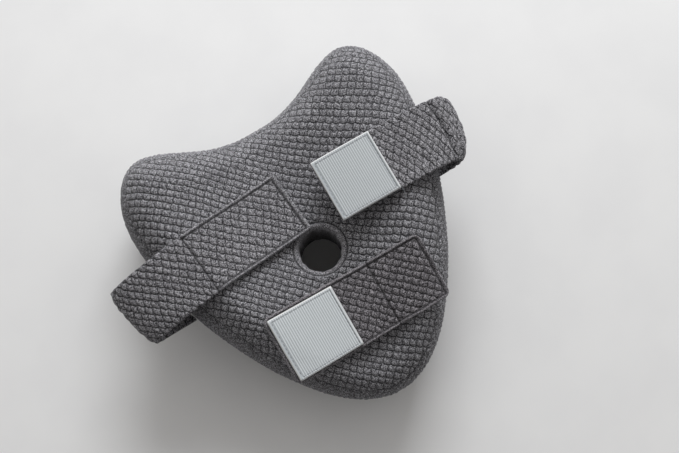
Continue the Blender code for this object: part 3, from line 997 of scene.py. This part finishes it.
def stretch_of(band, start, length, width):
    """The part of a band's middle surface that a narrower piece covers, as a grid of its own."""
    fine = refined(band.coarse, HOOK_FINER)
    places = np.linspace(start, start + length, round(length / HOOK_STEP) + 1) / band.step * HOOK_FINER
    rows = interpolate(fine, np.arange(len(fine)), places)
    across = arc_lengths(rows)[0]
    edge = (across[-1] - width) / 2
    wanted = np.linspace(edge, across[-1] - edge, round(width / HOOK_WIDE_STEP) + 1)
    return interpolate(rows.swapaxes(0, 1), across, wanted).swapaxes(0, 1)


class HookSquare(Band):
    """A square of hook tape on the stretch of band that it is sewn to."""

    def __init__(self, name, band, start, length, width):
        self.name = name
        grid = stretch_of(band, start, length, width)
        along = np.linspace(0.0, length, grid.shape[0])
        across = np.linspace(0.0, width, grid.shape[1])
        self.lay(grid, along, across, width)
        self.middle = grid + self.normals * (BAND_THICK / 2 + HOOK_CLEARANCE + HOOK_THICK / 2)


def make_hook_square(name, band, node, size, material):
    """A square of woven hook tape: fine ribs inside a smooth welt and its stitched line."""
    square = HookSquare(name, band, **size)
    border = np.minimum(square.to_edge, np.minimum(square.along, square.to_end))
    ribs = 0.5 - 0.5 * np.cos(2.0 * math.pi * square.along / RIB_PITCH)
    inside = np.clip((border - HOOK_WELT) / HOOK_SLOPE, 0.0, 1.0)
    line = groove(border, HOOK_LINE, HOOK_LINE_DEPTH, HOOK_LINE_WIDTH)
    relief = -RIB_DEPTH * inside * (1.0 + ribs) - line
    plain = np.zeros_like(relief)
    piece = square.sheet(HOOK_THICK / 2, relief, plain, square.along / RIB_PITCH, border, plain, plain)
    finish_piece(piece, material, "hook_tape", node)
    return square


def tube(points, radii):
    """Rings of points of a thread's tube round a line of points."""
    forward = np.gradient(points, axis=0)
    forward /= np.linalg.norm(forward, axis=1)[:, None]
    aside = np.cross(forward, (0.0, 0.0, 1.0))
    aside /= np.linalg.norm(aside, axis=1)[:, None]
    above = np.cross(aside, forward)
    turns = np.linspace(0.0, 2.0 * math.pi, THREAD_SIDES, endpoint=False)[None, :, None]
    round_it = aside[:, None] * np.cos(turns) + above[:, None] * np.sin(turns)
    return points[:, None] + round_it * radii[:, None, None]


def stitches(band, start, end):
    """Tubes of single stitches between two places on a band, each given along and across it."""
    start, end = np.array(start), np.array(end)
    length = np.linalg.norm(end - start)
    share = np.linspace(-1.0, 1.0, THREAD_RINGS)
    radii = THREAD_RADIUS * np.sqrt(1.0 - THREAD_TAPER * share ** 4)
    lift = STITCH_ARCH * (1.0 - share ** 2) - THREAD_RADIUS / 2
    tubes = []
    for middle in np.arange(STITCH_PITCH / 2, length - STITCH_LENGTH / 2, STITCH_PITCH):
        places = start + (end - start) * ((middle + share * STITCH_LENGTH / 2) / length)[:, None]
        tubes.append(tube(band.on_top(places[:, 0], places[:, 1], lift), radii))
    return tubes


def square_stitches(square):
    """The four lines of stitches round a hook square."""
    low, long, wide = HOOK_LINE, square.length - HOOK_LINE, square.width - HOOK_LINE
    corners = ((low, low), (long, low), (long, wide), (low, wide))
    return [item for i in range(4) for item in stitches(square, corners[i - 1], corners[i])]


def strap_stitches(band, cross_seam, corner, last):
    """The lines of stitches along a strap's hems, as far as the last place on it, and across it."""
    low, wide = STITCH_INSET, band.width - STITCH_INSET
    runs = [((corner, low), (last, low)), ((corner, wide), (last, wide))]
    runs.append(((END_INSET, corner), (END_INSET, band.width - corner)))
    runs.append(((cross_seam, low), (cross_seam, wide)))
    return [item for start, end in runs for item in stitches(band, start, end)]


def thread_object(name, tubes, material, slot):
    """One mesh of many short tubes of thread."""
    points, quads = [], []
    count = 0
    for rings in tubes:
        numbers = count + np.arange(len(rings) * THREAD_SIDES).reshape(len(rings), THREAD_SIDES)
        turned = np.roll(numbers, -1, axis=1)
        sides = np.stack((numbers[:-1], numbers[1:], turned[1:], turned[:-1]), axis=-1)
        quads += [sides.reshape(-1, 4), numbers[0][THREAD_CAP], numbers[-1][THREAD_CAP[:, ::-1]]]
        points.append(rings.reshape(-1, 3))
        count += numbers.size
    piece = mesh_object(name, np.vstack(points), np.vstack(quads), {})
    return finish_piece(piece, material, slot)


def loose_end(band):
    """A short end of thread that hangs from the elastic strap's edge beside its square."""
    share = np.linspace(0.0, 1.0, LOOSE_RINGS)
    start = band.on_top(*np.array(LOOSE_PLACE)[:, None], np.zeros(1))[0]
    run = share[:, None] * (LOOSE_ASIDE * VIEW_RIGHT - VIEW_UP)
    run[:, 2] -= LOOSE_FALL * share ** 2
    bend = LOOSE_BEND * np.sin(math.pi * share)[:, None] * VIEW_RIGHT
    return tube(start + LOOSE_END * run + bend, np.full(LOOSE_RINGS, THREAD_RADIUS * LOOSE_THIN))


def make_stitching(elastic, plain, extender, squares):
    """The topstitching on the plain strap and the extender and round the squares, and the loose end."""
    dark, pale = (thread_material(name, color) for name, color in THREADS.items())
    tubes = strap_stitches(plain, CROSS_SEAM_PLAIN, STITCH_INSET, CROSS_SEAM_PLAIN)
    last = extender.length - EXTENDER_CORNER
    tubes += strap_stitches(extender, CROSS_SEAM_EXTENDER, EXTENDER_CORNER, last)
    last = extender.length - END_INSET
    tubes += stitches(extender, (last, EXTENDER_CORNER), (last, extender.width - EXTENDER_CORNER))
    thread_object("strap_stitching", tubes, dark, "quilted_band")
    tubes = [item for square in squares for item in square_stitches(square)]
    thread_object("square_stitching", tubes + [loose_end(elastic)], pale, "hook_tape")


def tinted(color, tone=1.0):
    """A colour made lighter or darker, with its alpha."""
    return tuple(tone * part for part in color) + (1.0,)


class Nodes:
    """A node tree, with short ways to add and join nodes."""

    def __init__(self, tree):
        self.tree = tree

    def put(self, value, socket):
        """Links an output to a socket, or sets the socket's value."""
        if isinstance(value, bpy.types.NodeSocket):
            self.tree.links.new(value, socket)
        else:
            socket.default_value = value

    def node(self, kind, inputs=(), **settings):
        """A new node with its settings and inputs."""
        node = self.tree.nodes.new(kind)
        for key, value in settings.items():
            setattr(node, key, value)
        for key, value in dict(inputs).items():
            self.put(value, node.inputs[key])
        return node

    def ramp(self, value, low, high, out_low=0.0, out_high=1.0, kind="SMOOTHSTEP"):
        """A value that goes from out_low to out_high as another goes from low to high."""
        inputs = {"Value": value, "From Min": low, "From Max": high, "To Min": out_low, "To Max": out_high}
        return self.node("ShaderNodeMapRange", inputs, interpolation_type=kind).outputs["Result"]


class Shader(Nodes):
    """A material's node tree."""

    def __init__(self, name):
        self.material = bpy.data.materials.new(name)
        self.material.use_nodes = True
        super().__init__(self.material.node_tree)

    def math(self, operation, *values):
        """The result of an operation on values."""
        return self.node("ShaderNodeMath", dict(enumerate(values)), operation=operation).outputs[0]

    def mix(self, share, first, second):
        """A share of the second colour over the first."""
        node = self.node("ShaderNodeMix", {"Factor": share}, data_type="RGBA", blend_type="MIX")
        colors = [socket for socket in node.inputs if socket.type == "RGBA"]
        for value, socket in zip((first, second), colors):
            self.put(value, socket)
        return [socket for socket in node.outputs if socket.type == "RGBA"][0]

    def noise(self, scale, detail, roughness=0.5):
        """Noise fixed to the object, scale cells to the metre."""
        place = self.node("ShaderNodeTexCoord").outputs["Object"]
        inputs = {"Vector": place, "Scale": scale, "Detail": detail, "Roughness": roughness}
        return self.node("ShaderNodeTexNoise", inputs).outputs["Fac"]

    def cloth_map(self, name):
        """A cloth map's two coordinates."""
        place = self.node("ShaderNodeUVMap", uv_map=name).outputs["UV"]
        parts = self.node("ShaderNodeSeparateXYZ", {"Vector": place})
        return parts.outputs["X"], parts.outputs["Y"]

    def bump(self, height, distance, strength, **under):
        """The surface's direction with bumps a distance in metres high, over others if given as Normal."""
        inputs = {"Height": height, "Distance": distance, "Strength": strength, **under}
        return self.node("ShaderNodeBump", inputs).outputs["Normal"]

    def finish(self, **inputs):
        """Sets the surface's inputs and gives back the material."""
        surface = self.tree.nodes["Principled BSDF"]
        for key, value in inputs.items():
            self.put(value, surface.inputs[key.replace("_", " ")])
        return self.material


def knit_material(name, dark, light):
    """Heathered knit: light and dark yarn in fine loops, with painted shade where the quilting draws it in
    and along seams, stitched channels and creases.
    """
    s = Shader(name)
    heather = s.ramp(s.noise(1500.0, 2.0, 0.6), 0.45, 0.56)
    fleck = s.ramp(s.noise(1050.0, 1.0), 0.56, 0.66)
    tone = s.noise(38.0, 2.0)
    color = s.mix(heather, tinted(dark), tinted(light))
    color = s.mix(s.math("MULTIPLY", fleck, 0.6), color, tinted(light, 1.9))
    color = s.mix(s.ramp(tone, 0.3, 0.7, 0.0, 0.12), color, tinted(dark))
    column, row = s.cloth_map("quilt")
    # Painted shade in the grooves of the quilting's sewn rows and columns.
    row_painted_shade = s.ramp(s.math("PINGPONG", row, 0.5), 0.02, 0.14, ROW_PAINTED_SHADE, 0.0)
    column_painted_shade = s.ramp(s.math("PINGPONG", column, 0.5), 0.02, 0.13, COLUMN_PAINTED_SHADE, 0.0)
    # The sewn map's first part is painted shade in seams, stitched channels and creases; the quilting's
    # painted shade counts only where the cloth is quilted.
    seam, quilted = s.cloth_map("sewn")
    lines = s.math("MULTIPLY", s.math("MAXIMUM", row_painted_shade, column_painted_shade), quilted)
    color = s.mix(s.math("MAXIMUM", lines, seam), color, tinted(dark, 0.25))
    u, v = s.cloth_map("cloth")
    wale = s.math("PINGPONG", s.math("DIVIDE", u, 0.95), 0.5)
    loop = s.math("PINGPONG", s.math("ADD", s.math("DIVIDE", v, 0.8), wale), 0.5)
    loops = s.math("MULTIPLY", s.math("ADD", wale, 0.25), s.math("ADD", loop, 0.2))
    normal = s.bump(loops, 0.00045, 0.5)
    normal = s.bump(heather, 0.0003, 0.45, Normal=normal)
    s.finish(Base_Color=color, Normal=normal)
    return s.finish(Roughness=0.95, Specular_IOR_Level=0.15, Sheen_Weight=0.12)


def hook_material(name, tone):
    """Pale woven tape: fine ribs of stiff loops with a slight sheen, and a whiter selvage."""
    s = Shader(name)
    column, border = s.cloth_map("quilt")
    rib = s.ramp(s.math("PINGPONG", column, 0.5), 0.0, 0.5)
    weave = s.noise(2600.0, 1.0)
    low, high, fleck = (tinted(color, tone) for color in HOOK_COLORS)
    # Between the ribs the tape is darker as painted shade in the grooves.
    inner = s.mix(rib, low, high)
    inner = s.mix(s.ramp(weave, 0.35, 0.65, 0.0, 0.25), inner, fleck)
    color = s.mix(s.ramp(border, 0.6, 1.0), tinted(SELVAGE), inner)
    from_line = s.math("ABSOLUTE", s.math("SUBTRACT", border, HOOK_LINE))
    color = s.mix(s.ramp(from_line, 0.1, 0.4, 0.5, 0.0), color, tinted(HOOK_SEWN))
    tick = s.math("PINGPONG", s.math("DIVIDE", s.cloth_map("cloth")[1], 0.9), 0.5)
    normal = s.bump(s.math("MULTIPLY", tick, rib), 0.0003, 0.5)
    s.finish(Base_Color=color, Normal=normal)
    return s.finish(Roughness=0.55, Specular_IOR_Level=0.4, Sheen_Weight=0.1)


def thread_material(name, color):
    """Twisted sewing thread."""
    s = Shader(name)
    twist = s.noise(3000.0, 1.0)
    tone = s.mix(twist, tinted(color, 0.7), tinted(color, 1.4))
    return s.finish(Base_Color=tone, Normal=s.bump(twist, 0.0001, 0.5), Roughness=0.6, Sheen_Weight=0.1)


def floor_material():
    """A pale matt surface with the faintest unevenness."""
    s = Shader("pale_floor")
    tone = s.ramp(s.noise(14.0, 3.0), 0.3, 0.7)
    return s.finish(Base_Color=s.mix(tone, *(tinted(color) for color in FLOOR_COLORS)), Roughness=0.75)


def make_camera():
    """The camera, turned with the photograph and tilted towards the notched end."""
    right = Vector(VIEW_RIGHT)
    forward = Vector(VIEW_UP) * math.sin(CAMERA_TILT) - Vector((0.0, 0.0, 1.0)) * math.cos(CAMERA_TILT)
    data = bpy.data.cameras.new("camera")
    data.lens = LENS
    data.sensor_width = SENSOR
    camera = add_object("camera", data)
    turn = Matrix((right, right.cross(forward), -forward)).transposed()
    camera.matrix_world = Matrix.Translation(CAMERA_PLACE) @ turn.to_4x4()
    bpy.context.scene.camera = camera


def make_key_light():
    """A square soft light that looks at the pillow."""
    data = bpy.data.lights.new("key", "AREA")
    data.size = KEY_SIZE
    data.energy = KEY_POWER
    data.color = KEY_COLOR
    light = add_object("key", data)
    place = Vector(VIEW_UP * KEY_BACK + VIEW_RIGHT * KEY_RIGHT + (0.0, 0.0, KEY_HEIGHT))
    light.location = place
    light.rotation_euler = (Vector(KEY_TARGET) - place).to_track_quat("-Z", "Y").to_euler()


def make_sky():
    """Light from all round, strongest from high on the side of the notched end."""
    world = bpy.data.worlds.new("studio")
    world.use_nodes = True
    sky = Nodes(world.node_tree)
    place = sky.node("ShaderNodeTexCoord").outputs["Generated"]
    side = VIEW_TURN + SKY_TURN
    level = math.cos(SKY_RISE)
    brightest = (level * math.sin(side), level * math.cos(side), math.sin(SKY_RISE))
    toward = sky.node("ShaderNodeVectorMath", {0: place, 1: brightest}, operation="DOT_PRODUCT")
    strength = sky.ramp(toward.outputs["Value"], SKY_DARK_FROM, 1.0, SKY_DARK, SKY_BRIGHT, "LINEAR")
    background = sky.tree.nodes["Background"]
    sky.put(tinted(SKY_COLOR), background.inputs["Color"])
    sky.put(strength, background.inputs["Strength"])
    bpy.context.scene.world = world


def make_studio():
    """A pale floor, light from all round and one soft light high beyond the top of the view."""
    bpy.ops.mesh.primitive_plane_add(size=FLOOR_SIZE, location=(0.0, 0.0, 0.0))
    floor = bpy.context.object
    floor.name = "floor"
    floor.data.materials.append(floor_material())
    make_sky()
    make_key_light()
    bpy.context.scene.view_settings.view_transform = "Standard"


def make_pillow():
    """The cushion's four panels, the three straps, the two squares and the stitching."""
    cover, bands, dark_band, lining = (knit_material(name, *yarns) for name, yarns in KNITS.items())
    # The second square's tape is made lighter as a painted sheen on the same tape.
    tape, sheen_painted_tape = (hook_material(name, tone) for name, tone in HOOK_TONES.items())
    half = HalfCushion(FACE_ROWS, HOLE_RADIUS)
    back = HalfCushion(BACK_ROWS, HOLE_BACK_RADIUS)
    make_face_panel("face_panel", half, False, cover)
    make_side_band(half, cover)
    make_lining(half, back, lining)
    make_face_panel("back_panel", back, True, cover)
    elastic = make_elastic_strap(bands)
    plain = make_plain_strap(bands)
    extender = make_extender(dark_band)
    squares = (
        make_hook_square("hook_patch_elastic", elastic, "hook_square_elastic", ELASTIC_HOOK, tape),
        make_hook_square("hook_patch_extender", extender, "hook_square_extender", EXTENDER_HOOK, sheen_painted_tape),
    )
    make_stitching(elastic, plain, extender, squares)


make_camera()
make_studio()
make_pillow()
